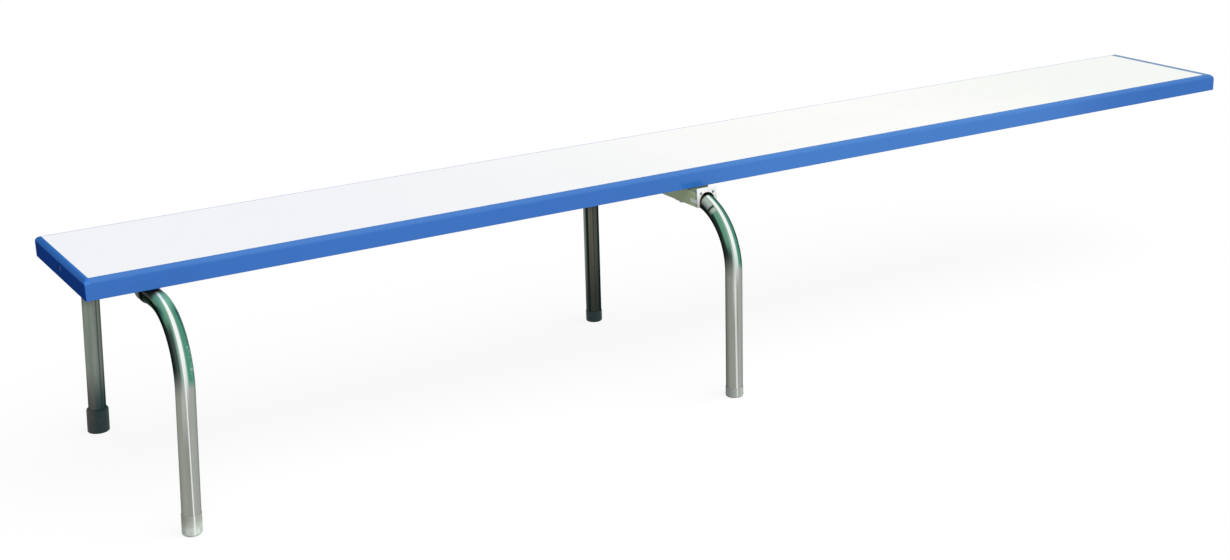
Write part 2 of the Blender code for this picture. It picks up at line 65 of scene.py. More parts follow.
# Board shell. One tray of glass fibre, laid up in a mould against a blue gelcoat, open below. Its
# top edges are rounded, more so at the tip, and a drain hole goes through its rear end.
class Wire:
    """A socket in a tree of shader nodes. Sums of wires add the nodes that work them out."""

    def __init__(self, tree, socket=None):
        self.tree = tree
        self.socket = socket

    def node(self, kind, settings=None, inputs=None, output=0):
        """Any node: its settings first, then the values or wires of its inputs."""
        made = self.tree.nodes.new(kind)
        for name, value in (settings or {}).items():
            setattr(made, name, value)
        for name, value in (inputs or {}).items():
            self.feed(made.inputs[name], value)
        return Wire(self.tree, made.outputs[output]) if made.outputs else None

    def feed(self, socket, value):
        if isinstance(value, Wire):
            self.tree.links.new(value.socket, socket)
        elif socket.type == "RGBA" and len(value) == 3:
            socket.default_value = (*value, 1)
        elif socket.type == "VECTOR" and isinstance(value, (int, float)):
            socket.default_value = (value, value, value)
        else:
            socket.default_value = value

    def worked(self, operation, *terms):
        """Vector Math where a term is a colour or a vector, and otherwise Math."""
        numbers = all(
            term.socket.type == "VALUE" if isinstance(term, Wire)
            else isinstance(term, (int, float))
            for term in terms
        )
        kind = "ShaderNodeMath" if numbers else "ShaderNodeVectorMath"
        return self.node(kind, {"operation": operation}, dict(enumerate(terms)))

    def __add__(self, other):
        return self.worked("ADD", self, other)

    def __radd__(self, other):
        return self.worked("ADD", other, self)

    def __sub__(self, other):
        return self.worked("SUBTRACT", self, other)

    def __rsub__(self, other):
        return self.worked("SUBTRACT", other, self)

    def __mul__(self, other):
        return self.worked("MULTIPLY", self, other)

    def __rmul__(self, other):
        return self.worked("MULTIPLY", other, self)

    def __truediv__(self, other):
        return self.worked("DIVIDE", self, other)

    def __rtruediv__(self, other):
        return self.worked("DIVIDE", other, self)

    def either(self, other):
        """The higher of two masks."""
        return self.worked("MAXIMUM", self, other)

    def unsigned(self):
        """This number without its sign."""
        return self.worked("ABSOLUTE", self)

    def angle(self, width):
        """The angle in radians of a slope with this rise over that width."""
        return self.worked("ARCTAN2", self, width)

    def length(self):
        return self.node("ShaderNodeVectorMath", {"operation": "LENGTH"}, {0: self}, "Value")

    def step(self, start, end):
        """A mask that rises smoothly from 0 at start to 1 at end, or falls if end is lower."""
        if start > end:
            return 1 - self.step(end, start)
        inputs = {"Value": self, "From Min": start, "From Max": end}
        return self.node("ShaderNodeMapRange", {"interpolation_type": "SMOOTHSTEP"}, inputs)

    def blend(self, low, high):
        """The colour low where this mask is 0, and high where it is 1."""
        return self.node("ShaderNodeMix", {"data_type": "RGBA"}, {0: self, 6: low, 7: high}, 2)

    def noise(self, scale, detail=3, rough=0.5):
        """Noise over these coordinates. The scale is in patches a metre."""
        inputs = {"Vector": self, "Scale": scale, "Detail": detail, "Roughness": rough}
        return self.node("ShaderNodeTexNoise", {}, inputs)

    def cells(self, scale):
        """Distance to the nearest of the points scattered over these coordinates."""
        return self.node("ShaderNodeTexVoronoi", {}, {"Vector": self, "Scale": scale})

    def stretch(self, x, y, z):
        """These coordinates with a factor on each axis."""
        return self.node("ShaderNodeMapping", {}, {"Vector": self, "Scale": (x, y, z)})

    def axis(self, name):
        return self.node("ShaderNodeSeparateXYZ", {}, {0: self}, name)

    def bump(self, depth, strength=1.0):
        """A surface normal from this height between 0 and 1, with the depth in metres."""
        inputs = {"Height": self, "Distance": depth, "Strength": strength}
        return self.node("ShaderNodeBump", {}, inputs)


def srgb(red, green, blue):
    """A colour as a screen shows it, from 0 to 255, made linear."""
    parts = (red / 255, green / 255, blue / 255)
    return tuple(p / 12.92 if p <= 0.04045 else ((p + 0.055) / 1.055) ** 2.4 for p in parts)


def finish(name, **plain):
    """A new material, its shader, and a wire of the object's coordinates."""
    made = bpy.data.materials.new(name)
    made.use_nodes = True
    shader = made.node_tree.nodes["Principled BSDF"]
    for socket, value in plain.items():
        Wire(made.node_tree).feed(shader.inputs[socket.replace("_", " ")], value)
    place = Wire(made.node_tree).node("ShaderNodeTexCoord", output="Object")
    return made, shader, place


def vary(shader, **wires):
    """Feeds what changes over the surface into the shader."""
    for socket, wire in wires.items():
        wire.feed(shader.inputs[socket.replace("_", " ")], wire)


sharp_angle = radians(40)


def refine(node, name, eased):
    """A piece made from a copy of a CAD node, merged, with its sharp edges eased."""
    shape = bmesh.new()
    shape.from_mesh(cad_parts[node].data)
    bmesh.ops.remove_doubles(shape, verts=shape.verts, dist=1e-5)
    bmesh.ops.dissolve_limit(shape, angle_limit=radians(1), verts=shape.verts, edges=shape.edges)
    sharp = [edge for edge in shape.edges if edge.calc_face_angle(0) > sharp_angle]
    bmesh.ops.bevel(
        shape, geom=sharp, offset=eased, segments=2, profile=0.5, affect="EDGES",
        clamp_overlap=True, material=-1,
    )
    return put_up(shape, name, node)


def put_up(shape, name, node):
    """Makes a piece of a finished shape, which stands for this CAD node and hides it."""
    mesh = bpy.data.meshes.new(name)
    shape.to_mesh(mesh)
    shape.free()
    mesh.shade_smooth()
    mesh.set_sharp_from_angle(angle=sharp_angle)
    piece = bpy.data.objects.new(name, mesh)
    piece.modifiers.new("flat faces stay flat", "WEIGHTED_NORMAL").keep_sharp = True
    bpy.context.scene.collection.objects.link(piece)
    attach(piece, "root")
    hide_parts(node)
    return piece


rear_end = -1.700
tip_end = 1.700
board_top = 0.563
drain_height = 0.539
gelcoat, shader, place = finish(
    "blue gelcoat", Specular_IOR_Level=0.0, Coat_IOR=1.45, Coat_Roughness=0.22
)
clouds = place.noise(2.2, 4, 0.6)
speckle = place.noise(900, 2)
drag = place.stretch(1, 40, 40).noise(9, 4, 0.6)
scuffs = place.stretch(3, 30, 30).noise(14, 5, 0.7).step(0.66, 0.74)
along = place.axis("X")
height = place.axis("Z")
# The blue is paler along the middle of the board.
paler_middle = along.step(-0.45, 0.15) * along.step(1.35, 0.95)
toward_tip = along.step(1.10, 1.50)
shoulder = height.step(board_top - 0.014, board_top - 0.005)
# A painted highlight makes the flat rim at the tip paler.
rim = along.step(tip_end - 0.038, tip_end - 0.034)
rim = rim * height.step(board_top - 0.0012, board_top - 0.0002)

# The rear end has a painted light band along its rounded top edge, and below that it is matt and
# dark with painted shade.
rear_band = along.step(rear_end + 0.0135, rear_end + 0.0115)
rear_band = rear_band * height.step(board_top - 0.013, board_top - 0.009)
rear_plane = along.step(rear_end + 0.0022, rear_end + 0.0008)
rear_face = rear_plane * height.step(board_top - 0.007, board_top - 0.013)
rear = rear_band.either(rear_plane)
pale_band = height.step(board_top - 0.011, board_top - 0.001)
pale_band = pale_band.blend((0.062, 0.220, 0.700), (0.035, 0.155, 0.500))
blue = clouds.step(0.3, 0.7).blend((0.020, 0.141, 0.505), (0.025, 0.156, 0.535))
blue = paler_middle.blend(blue, (0.037, 0.190, 0.580))
blue = toward_tip.blend(blue, (0.026, 0.148, 0.500))
# Painted shade dulls the blue on the rounded shoulder of the top edge.
blue = (shoulder * 0.50).blend(blue, (0.060, 0.170, 0.400))
blue = rim.blend(blue, (0.110, 0.230, 0.430))
blue = rear_band.blend(blue, pale_band)
blue = rear_face.blend(blue, (0.012, 0.066, 0.342))

# Painted shade darkens the rear end round its drain hole, and a painted highlight lightens its
# lip on one side.
from_hole = (place - (rear_end, 0, drain_height)) * (0, 1 / 0.0100, 1 / 0.0060)
from_lip = (place - (rear_end, -0.0125, drain_height)) * (0, 1 / 0.0035, 1 / 0.0065)
stain = rear_face * from_hole.length().step(1.1, 0.8)
lip = rear_face * from_lip.length().step(1.1, 0.6)
blue = lip.blend(blue, (0.055, 0.180, 0.640))
blue = stain.blend(blue, (0.002, 0.006, 0.030))
blue = (speckle.step(0.55, 0.8) * 0.12).blend(blue, (0.004, 0.07, 0.34))
blue = (scuffs * 0.25).blend(blue, (0.12, 0.26, 0.58))
gloss = (1 - rear) * (1 - 0.6 * scuffs) * (1 - 0.4 * toward_tip) * (1 - 0.4 * shoulder)
vary(
    shader,
    Base_Color=blue,
    Roughness=0.50 + 0.10 * drag + 0.15 * scuffs,
    Coat_Weight=gloss,
    Normal=(place.noise(260, 2) * 0.7 + speckle * 0.3).bump(0.00025, 0.25),
)
shell = refine("board_shell", "moulded_shell", 0.0006)
shell.data.materials.append(gelcoat)


# Tread. White resin with fine sand in it, spread in the shallow recess of the top and rubbed
# level. It is a little cooler and duller at the rear, where it is stepped on, than at the tip.
sanded, shader, place = finish("sanded white tread", Roughness=0.85, Specular_IOR_Level=0.25)
sand = place.noise(1100, 3, 0.65)
grains = place.cells(620)
patches = place.noise(5, 5, 0.62).step(0.30, 0.80)
along = place.axis("X")
trodden = along.step(0.6, -1.2)
white = trodden.blend((0.920, 0.925, 0.895), (0.836, 0.848, 0.878))
white = along.step(0.6, 1.4).blend(white, (0.865, 0.885, 0.850))
white = (patches * 0.16).blend(white, (0.80, 0.81, 0.83))
white = (grains.step(0.30, 0.02) * 0.12).blend(white, (0.66, 0.66, 0.64))
vary(
    shader,
    Base_Color=white,
    Roughness=0.78 + 0.15 * sand,
    Normal=(sand * 0.6 + (1 - grains) * 0.4).bump(0.0006, 0.5),
)
tread = refine("tread_surface", "sanded_tread", 0.0003)
tread.data.materials.append(sanded)


# Underside panel. A thin sheet of glass fibre laminate, bonded into the open bottom of the shell.
# The strands of its chopped mat show through the blue resin.
laminate, shader, place = finish("blue laminate", Specular_IOR_Level=0.4)
lengthways = place.stretch(1, 7, 1).noise(70, 3, 0.7)
crossways = place.stretch(7, 1, 1).noise(70, 3, 0.7)
strands = lengthways * 0.5 + crossways * 0.5
laps = place.noise(5, 3)
blue = strands.step(0.35, 0.65).blend((0.012, 0.090, 0.36), (0.035, 0.150, 0.48))
blue = (laps.step(0.4, 0.8) * 0.4).blend(blue, (0.010, 0.075, 0.30))
vary(shader, Base_Color=blue, Roughness=0.45 + 0.25 * strands, Normal=strands.bump(0.0005, 0.6))


def dress(material, *nodes):
    """Gives CAD nodes that keep their shape a better material."""
    for node in nodes:
        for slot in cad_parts[node].material_slots:
            slot.material = material


dress(laminate, "underside_panel")


# Timber core. Planed softwood stringers and two blocks of harder wood, which the resin holds
# inside the shell. The grain runs along the board.
timber, shader, place = finish("planed timber", Specular_IOR_Level=0.3)
rings = place.stretch(0.6, 14, 14) + place.stretch(1, 4, 4).noise(2.5, 3) * 0.9
bands = rings.node(
    "ShaderNodeTexWave", {"bands_direction": "Z"},
    {"Vector": rings, "Scale": 1.6, "Distortion": 2.5, "Detail": 3, "Detail Scale": 1.2},
)
pores = place.stretch(6, 300, 300).noise(1.5, 3, 0.7)
wood = bands.step(0.1, 0.9).blend((0.60, 0.43, 0.25), (0.42, 0.26, 0.13))
wood = (pores.step(0.56, 0.75) * 0.5).blend(wood, (0.28, 0.17, 0.08))
vary(
    shader,
    Base_Color=wood,
    Roughness=0.62 + 0.2 * pores,
    Normal=(bands * 0.4 + pores * 0.6).bump(0.0004, 0.5),
)
dress(
    timber, "core_stringer_left", "core_stringer_right", "core_stringer_centre_rear",
    "core_stringer_centre_front", "core_block_rear", "core_block_front",
)


# Front frame. One length of stainless tube, bent cold into an inverted U. It is mirror polished at
# the bends and satin down the legs. Its reflections, and a highlight line along the outside, are
# painted into its colour.
tube_radius = 0.0215
tube_wall = 0.002
bend_radius = 0.158
axis_height = 0.4872
leg_y = 0.352
foot_height = 0.0063
half_length = 0.765
tube_sides = 64
bend_steps = 28


def bend_tube(name, node, x, rake):
    """A tube pushed up a leg, round a bend, across, round the other bend and down again."""
    top = axis_height / cos(rake)
    foot = (foot_height + tube_radius * sin(rake)) / cos(rake)
    bend_start = top - bend_radius
    bend_y = leg_y - bend_radius
    shape = bmesh.new()
    wall = [shape.verts.new((radius, 0, 0)) for radius in (tube_radius - tube_wall, tube_radius)]
    edge = shape.edges.new(wall)
    bmesh.ops.spin(
        shape, geom=[edge], axis=(0, 0, 1), angle=2 * pi, steps=tube_sides, use_merge=True
    )
    bmesh.ops.translate(shape, verts=shape.verts, vec=(0, leg_y, foot))

    def run(ring, step):
        pushed = bmesh.ops.extrude_face_region(shape, geom=ring)["geom"]
        moved = [item for item in pushed if isinstance(item, bmesh.types.BMVert)]
        bmesh.ops.translate(shape, verts=moved, vec=step)
        return pushed

    def bend(ring, y):
        spun = bmesh.ops.spin(
            shape, geom=ring, cent=(0, y, bend_start), axis=(1, 0, 0), angle=pi / 2,
            steps=bend_steps,
        )
        return spun["geom_last"]

    leg_length = bend_start - foot
    ring = run(shape.verts[:] + shape.edges[:] + shape.faces[:], (0, 0, leg_length))
    ring = bend(ring, bend_y)
    ring = run(ring, (0, -2 * bend_y, 0))
    ring = bend(ring, -bend_y)
    run(ring, (0, 0, -leg_length))
    bmesh.ops.recalc_face_normals(shape, faces=shape.faces)

    # The belt's lines follow the tube, so each point keeps its place on the straight tube.
    straight = shape.verts.layers.float_vector.new("straight")
    for point in shape.verts:
        across = abs(point.co.y) - bend_y
        above = point.co.z - bend_start
        if above <= 0:
            along = bend_y + bend_radius * pi / 2 - above
            outward = across - bend_radius
        elif across <= 0:
            along = across + bend_y
            outward = above - bend_radius
        else:
            along = bend_y + bend_radius * atan2(across, above)
            outward = hypot(across, above) - bend_radius
        point[straight] = (outward, point.co.x, along if point.co.y > 0 else -along)
    lean = Matrix.Translation((x, 0, 0)) @ Matrix.Rotation(rake, 4, "Y")
    bmesh.ops.transform(shape, verts=shape.verts, matrix=lean)
    return put_up(shape, name, node)


def at_front(place):
    """A mask of the front frame and what it carries, which is 0 on the rear one."""
    return place.axis("X").step(-0.9, -0.7)


def stainless():
    """Stainless steel, satin down the legs and polished at the bends, reflections and highlight
    painted in.
    """
    made, shader, place = finish("stainless tube", Specular_Tint=(0.30, 0.34, 0.31))

    # Outward and forward lie across the tube, in radii. Turned goes round it from its outside, in
    # radians and positive to the front. Climb goes up it from the foot, in metres.
    straight = place.node("ShaderNodeAttribute", {"attribute_name": "straight"}, output="Vector")
    outward = straight.axis("X") / tube_radius
    forward = straight.axis("Y") / tube_radius
    turned = forward.angle(outward)
    climb = half_length - straight.axis("Z").unsigned()
    height = place.axis("Z")
    across = place.axis("Y")
    reach = across.unsigned()
    far_leg = across.step(-0.05, 0.05)
    front = at_front(place)
    inner_side = (outward - 0.08 * front).step(0.05, -0.45)
    belt = straight.stretch(1, 1, 0.012).noise(420, 3, 0.7)
    broad = straight.stretch(1, 1, 0.03).noise(75, 2)
    spots = straight.noise(160, 4, 0.65)

    # Satin legs, with painted reflection: a little paler to the front of the line, and paler still
    # in a painted glare just behind it, higher up.
    satin = broad.step(0.25, 0.75).blend(srgb(142, 146, 136), srgb(158, 161, 152))
    satin = (turned.step(-0.25, 0.05) * 0.7).blend(satin, srgb(176, 182, 176))
    glare = climb.step(0.18, 0.30) * turned.step(-0.90, -0.60) * turned.step(-0.10, -0.30)
    satin = (glare * 0.5).blend(satin, srgb(196, 200, 196))

    # Their inner sides, with painted reflection: grey with one dark streak on the rear frame,
    # olive brown between dark bands on the front one. A painted shadow runs down the rear of the
    # near front leg, and painted shade makes both far legs darker towards the floor.
    streak = forward.step(0.16, 0.24) * forward.step(0.44, 0.34)
    grey = broad.step(0.3, 0.7).blend(srgb(114, 123, 115), srgb(138, 147, 137))
    grey = (streak * 0.8).blend(grey, srgb(62, 72, 68))
    grey = (forward.step(0.30, 0.75) * 0.6).blend(grey, srgb(80, 88, 84))
    brown = (broad * 0.7 + belt * 0.3).step(0.35, 0.65)
    brown = brown.blend(srgb(82, 81, 70), srgb(110, 107, 93))
    band = forward.step(-0.38, -0.30) * forward.step(-0.12, -0.20)
    brown = (band * 0.8).blend(brown, srgb(50, 55, 50))
    brown = forward.step(-0.16, -0.06).blend(brown, srgb(76, 82, 78))
    brown = forward.step(0.20, 0.38).blend(brown, srgb(42, 49, 46))
    brown = forward.step(-0.75, -0.83).blend(brown, srgb(16, 28, 27))
    brown = outward.step(-0.42, -0.28).blend(brown, srgb(48, 62, 58))
    shaded = front.blend(grey, brown)
    satin = (inner_side * (0.35 + 0.65 * far_leg)).blend(satin, shaded)
    shadow = turned.step(-1.10, -1.50) * front * (1 - far_leg)
    satin = (shadow * 0.5).blend(satin, srgb(98, 104, 98))
    low = (1 - front) * height.step(0.19, 0.06) + front * height.step(0.26, 0.03) * 0.8
    floor_shade = forward.step(-0.62, -0.20).blend(srgb(74, 72, 70), srgb(26, 52, 54))
    floor_shade = front.blend(floor_shade, srgb(26, 34, 35))
    satin = (low * far_leg * 0.9).blend(satin, floor_shade)

    # Polished bends, with painted reflections: dark to the rear and inside, with reflected green
    # on both sides of the line. It starts lower on the front frame and in front of the line, and
    # the painted reflection is palest near the board.
    dark = srgb(34, 43, 40)
    green_reflected = (climb + front * 0.08).step(0.44, 0.49)
    left = green_reflected.blend(srgb(60, 76, 72), srgb(96, 150, 123))
    mirror = (turned + 0.15 * green_reflected).step(-1.10, -0.85).blend(dark, left)
    beside = climb.step(0.38, 0.48).blend(srgb(148, 182, 166), srgb(118, 164, 140))
    mirror = turned.step(-0.72, -0.42).blend(mirror, beside)
    mirror = turned.step(-0.02, 0.20).blend(mirror, srgb(78, 146, 122))
    mirror = (turned.step(0.45, 0.80) * 0.7).blend(mirror, srgb(116, 166, 148))
    wetted = climb.step(0.35, 0.37) * climb.step(0.44, 0.41) * turned.step(0.35, 0.55)
    drops = wetted * (1 - front) * spots.step(0.50, 0.58)
    mirror = (drops * 0.7).blend(mirror, srgb(180, 214, 202))
    mirror = (front * turned.step(0.35, 0.60)).blend(mirror, srgb(52, 98, 80))
    mirror = (turned - 0.3 * (1 - front)).step(1.00, 1.25).blend(mirror, dark)
    crest = (turned + 0.3 * climb.step(0.50, 0.54)).step(-1.05, -0.75)
    crest = (1 - front) * climb.step(0.485, 0.53) * crest
    mirror = (crest * 0.8).blend(mirror, srgb(120, 182, 150))
    # Painted reflection of the end cap: pale, dark and pale bands on the front bend beside it.
    plate_side = front * turned.step(-0.38, -0.60) * turned.step(-1.45, -1.15)
    plate_side = plate_side * climb.step(0.474, 0.482)
    bands = climb.step(0.4865, 0.4900).blend(srgb(180, 192, 178), srgb(52, 58, 48))
    bands = climb.step(0.4930, 0.4975).blend(bands, srgb(176, 190, 178))
    mirror = plate_side.blend(mirror, bands)
    behind = turned.step(-0.05, -0.30)
    polished = behind * climb.step(0.305, 0.375) + (1 - behind) * climb.step(0.328, 0.350)
    color = polished.blend(satin, mirror)

    # The painted highlight line near the outside: narrow down the legs, softer on the front ones,
    # and broad at the bends.
    offset = turned + 0.04 + 0.60 * climb + 0.22 * front
    thin = offset.step(-0.09, -0.03) * offset.step(0.09, 0.03) * 0.9
    soft = offset.step(-0.18, -0.04) * offset.step(0.16, 0.03) * 0.70
    taper = 0.13 * (1 - front) * climb.step(0.46, 0.54)
    wide = turned.step(-0.42, -0.32) * (turned + taper).step(0.05, -0.04)
    flared = climb.step(0.27, 0.41)
    line = flared * wide + (1 - flared) * ((1 - front) * thin + front * soft)
    color = (line * (0.88 + 0.12 * broad)).blend(color, (1, 1, 1))

    # The run under the board is dark with painted shade, and a dark ring of painted shade marks
    # where the beam ends.
    dull = front.blend(srgb(50, 55, 52), srgb(84, 84, 76))
    color = reach.step(0.222, 0.196).blend(color, dull)
    ring = front * reach.step(0.2430, 0.2400) * reach.step(0.225, 0.230)
    color = ring.blend(color, srgb(72, 60, 56))
    color = (belt.step(0.45, 0.75) * 0.16).blend(color, srgb(92, 94, 88))
    color = (spots.step(0.62, 0.72) * 0.20).blend(color, srgb(120, 112, 92))
    vary(
        shader,
        Base_Color=color,
        Metallic=1 - 0.75 * crest.either(plate_side),
        Roughness=0.36 - 0.12 * polished + 0.12 * belt + 0.10 * spots.step(0.6, 0.75),
        Normal=belt.bump(0.00008, 0.35),
    )
    return made


steel_tube = stainless()
front_x = -0.1455
front_tube = bend_tube("front_tube", "front_frame_tube", front_x, 0)
front_tube.data.materials.append(steel_tube)


# Fulcrum beam. An extruded length of light alloy, arched below to sit on the front tube and
# painted off-white, with an olive tint painted in for the green light in its shade. A strip of
# rubber lies between it and the board, lighter olive at the front: painted light in that shaded
# gap.
painted, shader, place = finish("off-white paint", Specular_IOR_Level=0.4)
drawn = place.stretch(1, 0.02, 1).noise(500, 3, 0.6)
stain = place.noise(16, 4, 0.6)
chips = place.noise(120, 4, 0.7).step(0.68, 0.72)
cream = stain.step(0.3, 0.75).blend(srgb(218, 230, 182), srgb(190, 206, 152))
cream = (drawn.step(0.5, 0.8) * 0.25).blend(cream, srgb(142, 154, 124))
cream = (chips * 0.7).blend(cream, srgb(120, 122, 112))
# Painted shade: the wall darkens beside each end cap, and its top is a shaded olive.
beam_end = place.axis("Y").unsigned().step(0.2250, 0.2275)
cream = (beam_end * 0.8).blend(cream, srgb(66, 74, 60))
beam_top = place.axis("Z").step(0.5095, 0.5110)
cream = beam_top.blend(cream, srgb(112, 122, 98))
vary(
    shader,
    Base_Color=cream,
    Roughness=0.40 + 0.20 * stain + 0.15 * chips,
    Normal=(drawn * 0.6 - chips * 0.4).bump(0.0002, 0.5),
)
beam = refine("fulcrum_beam", "painted_beam", 0.0004)
beam.data.materials.append(painted)

rubber, shader, place = finish("black rubber", Specular_IOR_Level=0.35)
bloom = place.noise(40, 5, 0.65)
pits = place.cells(900)
black = bloom.step(0.35, 0.8).blend(srgb(30, 38, 38), srgb(58, 68, 67))
# Painted light: the front pad is a lighter olive than black rubber, though it lies in shade.
black = at_front(place).blend(black, srgb(92, 102, 82))
black = (pits.step(0.25, 0.05) * 0.4).blend(black, srgb(20, 24, 24))
vary(
    shader,
    Base_Color=black,
    Roughness=0.60 + 0.25 * bloom,
    Normal=(pits * 0.4 + place.noise(300, 3) * 0.6).bump(0.0003, 0.5),
)
dress(rubber, "fulcrum_pad")


# Beam end caps. White moulded plates that close the ends of the beam, arched over the tube, with a
# tab along each wall. Two small round-headed screws hold each one.
moulded, shader, place = finish("white moulding", Specular_IOR_Level=0.45)
yellow = place.noise(30, 4, 0.6)
dirt = place.noise(140, 4, 0.7)
white = yellow.step(0.35, 0.8).blend((0.96, 0.98, 0.97), (0.90, 0.93, 0.91))
white = (dirt.step(0.60, 0.78) * 0.30).blend(white, (0.45, 0.44, 0.38))
grimy = place.axis("Z").step(0.508, 0.490)
white = (grimy * 0.8).blend(white, (0.66, 0.67, 0.60))
# Painted light: the tabs, in shade on the rear-facing walls, are a lighter white.
tabs = place.axis("Y").unsigned().step(0.2320, 0.2312)
white = tabs.blend(white, (0.96, 1.0, 0.94))
vary(
    shader,
    Base_Color=white,
    Roughness=0.38 + 0.2 * dirt,
    Normal=place.noise(700, 2).bump(0.0001, 0.4),
)
for side in ("left", "right"):
    cap = refine("beam_end_cap_" + side, "moulded_cap_" + side, 0.0005)
    cap.data.materials.append(moulded)


# Bolts, washers and saddles. Zinc-plated steel, dulled with age. The saddles are pressed from
# plate, and the bolts and screws are cold headed.
zinc, shader, place = finish("zinc plate", Metallic=1.0)
spangle = place.cells(420)
dull = place.noise(90, 4, 0.65)
rust = place.noise(260, 5, 0.7).step(0.64, 0.74)
grey = spangle.step(0.1, 0.6).blend(srgb(176, 178, 176), srgb(146, 148, 146))
grey = (dull.step(0.4, 0.8) * 0.6).blend(grey, srgb(116, 114, 106))
grey = (rust * 0.5).blend(grey, srgb(112, 74, 46))
vary(
    shader,
    Base_Color=grey,
    Roughness=0.34 + 0.25 * dull + 0.2 * rust,
    Normal=(dull * 0.5 + rust * 0.5).bump(0.00015, 0.4),
)
small_fixings = {
    "end_cap_screw": "cap_screw", "strap_bolt": "hex_bolt", "strap_washer": "round_washer",
}
for side in ("left", "right"):
    for node, name in small_fixings.items():
        for number in ("_1", "_2"):
            piece = refine(f"{node}_{side}{number}", f"{name}_{side}{number}", 0.0002)
            piece.data.materials.append(zinc)
    for node, name in (("through_bolt", "long_bolt"), ("saddle_washer", "saddle")):
        piece = refine(f"{node}_{side}", f"{name}_{side}", 0.0003)
        piece.data.materials.append(zinc)


# Threaded inserts. Brass sleeves, turned and threaded inside, that are set in the hardwood blocks
# and take the bolts.
brass, shader, place = finish("turned brass", Metallic=1.0)
turning = place.stretch(0.2, 0.2, 1).noise(1800, 2)
tarnish = place.noise(200, 4, 0.6)
yellow = tarnish.step(0.35, 0.75).blend((0.72, 0.53, 0.24), (0.42, 0.30, 0.14))
vary(shader, Base_Color=yellow, Roughness=0.28 + 0.2 * turning, Normal=turning.bump(0.0001, 0.5))
for side in ("left", "right"):
    dress(brass, "insert_front_" + side, f"insert_rear_{side}_1", f"insert_rear_{side}_2")


# Rear frame. The same bent tube as the front one, leant forward by three degrees. Rubber cradles
# lie between it and the board, and straps hold it up, pressed from steel plate, zinc plated and
# coloured near black.
rear_feet_x = -1.570
rear_rake = radians(3)
rear_tube = bend_tube("rear_tube", "rear_frame_tube", rear_feet_x, rear_rake)
rear_tube.data.materials.append(steel_tube)
near_black_zinc, shader, place = finish("black zinc", Specular_IOR_Level=0.35)
film = place.noise(60, 4, 0.6)
scratches = place.stretch(1, 0.15, 1).noise(300, 4, 0.7).step(0.64, 0.72)
black = film.step(0.3, 0.7).blend(srgb(32, 38, 38), srgb(50, 57, 56))
black = (scratches * 0.5).blend(black, srgb(104, 106, 102))
vary(
    shader,
    Base_Color=black,
    Roughness=0.42 + 0.25 * film,
    Normal=(film * 0.6 - scratches * 0.4).bump(0.0002, 0.5),
)
for side in ("left", "right"):
    cradle = refine("rear_cradle_" + side, "rubber_cradle_" + side, 0.0004)
    cradle.data.materials.append(rubber)
    strap = refine("rear_strap_" + side, "strap_" + side, 0.0003)
    strap.data.materials.append(near_black_zinc)


# Feet. Moulded cups pushed onto the legs: a thick black boot on the left rear leg and slim vinyl
# caps on the other three, dark on the left side and pale grey on the right side.
def turn_foot(name, node, x, side, rake, outer, height, sole_radius, rim_radius):
    """A cup turned about the leg and leant with it, so that its sole stays level."""
    fit_gap = 0.0003
    bore = tube_radius + fit_gap
    sole = foot_height - fit_gap
    profile = [(0, 0), (outer, 0), (outer, height), (bore, height), (bore, sole), (0, sole)]
    shape = bmesh.new()
    points = [shape.verts.new((radius, 0, level)) for radius, level in profile]
    line = [shape.edges.new(pair) for pair in zip(points, points[1:])]
    bmesh.ops.spin(shape, geom=line, axis=(0, 0, 1), angle=2 * pi, steps=48, use_merge=True)
    bmesh.ops.remove_doubles(shape, verts=shape.verts, dist=1e-6)
    for level, rounding in ((0, sole_radius), (height, rim_radius)):
        corner = {
            point for point in shape.verts
            if abs(point.co.z - level) < 1e-6 and hypot(point.co.x, point.co.y) > outer - 1e-5
        }
        ring = [edge for edge in shape.edges if corner.issuperset(edge.verts)]
        bmesh.ops.bevel(
            shape, geom=ring, offset=rounding, segments=6, profile=0.5, affect="EDGES",
            clamp_overlap=True, material=-1,
        )
    bmesh.ops.recalc_face_normals(shape, faces=shape.faces)
    upright = shape.verts.layers.float_vector.new("upright")
    for point in shape.verts:
        point[upright] = (point.co.y * side, point.co.x, point.co.z)
    bmesh.ops.transform(shape, verts=shape.verts, matrix=Matrix.Shear("XY", 4, (tan(rake), 0)))
    bmesh.ops.translate(shape, verts=shape.verts, vec=(x, side * leg_y, 0))
    return put_up(shape, name, node)


# The pale vinyl is almost the grey of the leg at its rim, paler and blotched near the floor, and
# carries the leg's painted highlight line on the outside. The front one is greyer.
pale_vinyl, shader, place = finish("bleached vinyl", Specular_IOR_Level=0.3)
upright = place.node("ShaderNodeAttribute", {"attribute_name": "upright"}, output="Vector")
turned = upright.axis("Y").angle(upright.axis("X"))
above = upright.axis("Z")
front = at_front(place)
mottle = place.noise(85, 5, 0.65)
marks = place.stretch(1, 1, 0.25).noise(190, 4, 0.65)
pale = mottle.step(0.3, 0.7).blend(srgb(184, 194, 184), srgb(222, 230, 222))
pale = (marks.step(0.55, 0.72) * 0.5).blend(pale, srgb(152, 162, 150))
pale = (front * 0.7).blend(pale, srgb(156, 160, 153))
pale = above.step(0.014, 0.044).blend(pale, srgb(164, 168, 158))
beside = turned + 0.05 + 0.22 * front
highlight_line = beside.step(-0.10, -0.05) * beside.step(0.10, 0.05)
pale = (highlight_line * (0.9 - 0.3 * front)).blend(pale, srgb(240, 246, 240))
pale = (above.step(0.003, 0.0) * 0.5).blend(pale, srgb(120, 128, 120))
vary(
    shader,
    Base_Color=pale,
    Roughness=0.50 + 0.25 * mottle,
    Normal=(mottle * 0.5 + marks * 0.5).bump(0.0003, 0.5),
)

